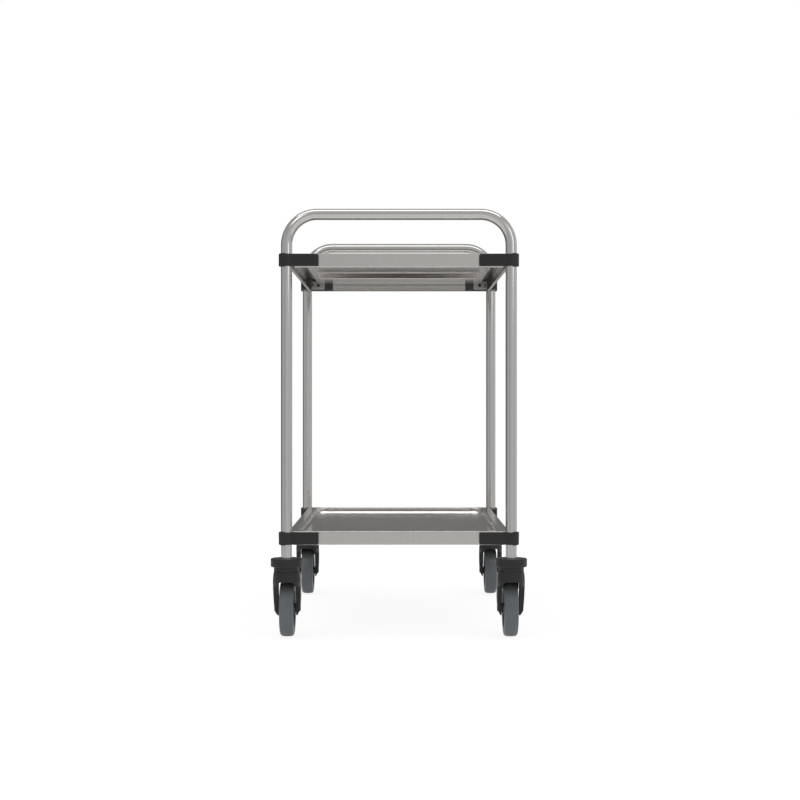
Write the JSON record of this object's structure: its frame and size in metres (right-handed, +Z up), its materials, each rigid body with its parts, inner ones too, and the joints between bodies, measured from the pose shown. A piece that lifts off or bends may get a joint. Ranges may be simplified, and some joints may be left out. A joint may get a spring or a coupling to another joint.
{
  "type": "serving cart",
  "caption": "Serving cart with bent-tube end frames that form push handles, recessed tray shelves, plastic corner connectors and swivel casters with foot brakes.",
  "frame": {"origin": "on the floor, under the middle of the whole cart's box with the casters trailing to the rear", "axes": "+X across the narrow end to the right, +Y along the shelves to the rear, +Z up"},
  "size_m": [0.5706, 0.9298, 0.956],
  "materials": {
    "stainless_tube": "finely ground, semi-gloss",
    "stainless_sheet": "rolled, semi-gloss",
    "black_plastic": "fine spark-eroded grain",
    "grey_tyre": "smooth, matt",
    "hub_plastic": "moulded, matt",
    "bush_plastic": "smooth",
    "black_rubber": "matt",
    "plated_steel": "zinc plated"
  },
  "bodies": {
    "cart_frame": {"end_frame_front": "stainless_tube", "end_frame_rear": "stainless_tube", "top_shelf": "stainless_sheet", "bottom_shelf": "stainless_sheet", "top_shelf_stiffener": "stainless_sheet", "bottom_shelf_stiffener": "stainless_sheet", "top_corner_front_left": "black_plastic", "top_corner_front_right": "black_plastic", "top_corner_rear_left": "black_plastic", "top_corner_rear_right": "black_plastic", "top_inner_clamps": "black_plastic", "top_clamp_plates": "plated_steel", "top_corner_screws": "plated_steel", "bottom_corner_front_left": "black_plastic", "bottom_corner_front_right": "black_plastic", "bottom_corner_rear_left": "black_plastic", "bottom_corner_rear_right": "black_plastic", "bottom_inner_clamps": "black_plastic", "bottom_clamp_plates": "plated_steel", "bottom_corner_screws": "plated_steel", "bumper_disc_front_left": "black_plastic", "bumper_disc_front_right": "black_plastic", "bumper_disc_rear_left": "black_plastic", "bumper_disc_rear_right": "black_plastic", "swivel_head_front_left": "black_plastic", "swivel_head_front_right": "black_plastic", "swivel_head_rear_left": "black_plastic", "swivel_head_rear_right": "black_plastic", "stem_expanders": "black_rubber", "kingpin_nuts": "plated_steel"},
    "caster_front_left": {"fork_front_left": "black_plastic", "swivel_bearing_front_left": "plated_steel", "axle_front_left": "plated_steel"},
    "wheel_front_left": {"tyre_front_left": "grey_tyre", "wheel_hub_front_left": "hub_plastic", "wheel_bushes_front_left": "bush_plastic"},
    "caster_front_right": {"fork_front_right": "black_plastic", "swivel_bearing_front_right": "plated_steel", "axle_front_right": "plated_steel", "brake_pin_front_right": "plated_steel"},
    "wheel_front_right": {"tyre_front_right": "grey_tyre", "wheel_hub_front_right": "hub_plastic", "wheel_bushes_front_right": "bush_plastic"},
    "brake_front_right": {"brake_pedal_front_right": "black_plastic", "brake_shoe_front_right": "black_rubber"},
    "caster_rear_left": {"fork_rear_left": "black_plastic", "swivel_bearing_rear_left": "plated_steel", "axle_rear_left": "plated_steel", "brake_pin_rear_left": "plated_steel"},
    "wheel_rear_left": {"tyre_rear_left": "grey_tyre", "wheel_hub_rear_left": "hub_plastic", "wheel_bushes_rear_left": "bush_plastic"},
    "brake_rear_left": {"brake_pedal_rear_left": "black_plastic", "brake_shoe_rear_left": "black_rubber"},
    "caster_rear_right": {"fork_rear_right": "black_plastic", "swivel_bearing_rear_right": "plated_steel", "axle_rear_right": "plated_steel"},
    "wheel_rear_right": {"tyre_rear_right": "grey_tyre", "wheel_hub_rear_right": "hub_plastic", "wheel_bushes_rear_right": "bush_plastic"}
  },
  "joints": [
    {"name": "swivel_front_left", "type": "hinge", "parent": "cart_frame", "child": "caster_front_left", "pos_m": [-0.25, -0.4296, 0.15], "axis": [0, 0, 1], "continuous": true},
    {"name": "roll_front_left", "type": "hinge", "parent": "caster_front_left", "child": "wheel_front_left", "pos_m": [-0.25, -0.3976, 0.0625], "axis": [1, 0, 0], "continuous": true},
    {"name": "swivel_front_right", "type": "hinge", "parent": "cart_frame", "child": "caster_front_right", "pos_m": [0.25, -0.4296, 0.15], "axis": [0, 0, 1], "continuous": true},
    {"name": "roll_front_right", "type": "hinge", "parent": "caster_front_right", "child": "wheel_front_right", "pos_m": [0.25, -0.3976, 0.0625], "axis": [1, 0, 0], "continuous": true},
    {"name": "brake_press_front_right", "type": "hinge", "parent": "caster_front_right", "child": "brake_front_right", "pos_m": [0.25, -0.3876, 0.136], "axis": [-1, 0, 0], "range_deg": [0, 12]},
    {"name": "swivel_rear_left", "type": "hinge", "parent": "cart_frame", "child": "caster_rear_left", "pos_m": [-0.25, 0.3704, 0.15], "axis": [0, 0, 1], "continuous": true},
    {"name": "roll_rear_left", "type": "hinge", "parent": "caster_rear_left", "child": "wheel_rear_left", "pos_m": [-0.25, 0.4024, 0.0625], "axis": [1, 0, 0], "continuous": true},
    {"name": "brake_press_rear_left", "type": "hinge", "parent": "caster_rear_left", "child": "brake_rear_left", "pos_m": [-0.25, 0.4124, 0.136], "axis": [-1, 0, 0], "range_deg": [0, 12]},
    {"name": "swivel_rear_right", "type": "hinge", "parent": "cart_frame", "child": "caster_rear_right", "pos_m": [0.25, 0.3704, 0.15], "axis": [0, 0, 1], "continuous": true},
    {"name": "roll_rear_right", "type": "hinge", "parent": "caster_rear_right", "child": "wheel_rear_right", "pos_m": [0.25, 0.4024, 0.0625], "axis": [1, 0, 0], "continuous": true}
  ]
}
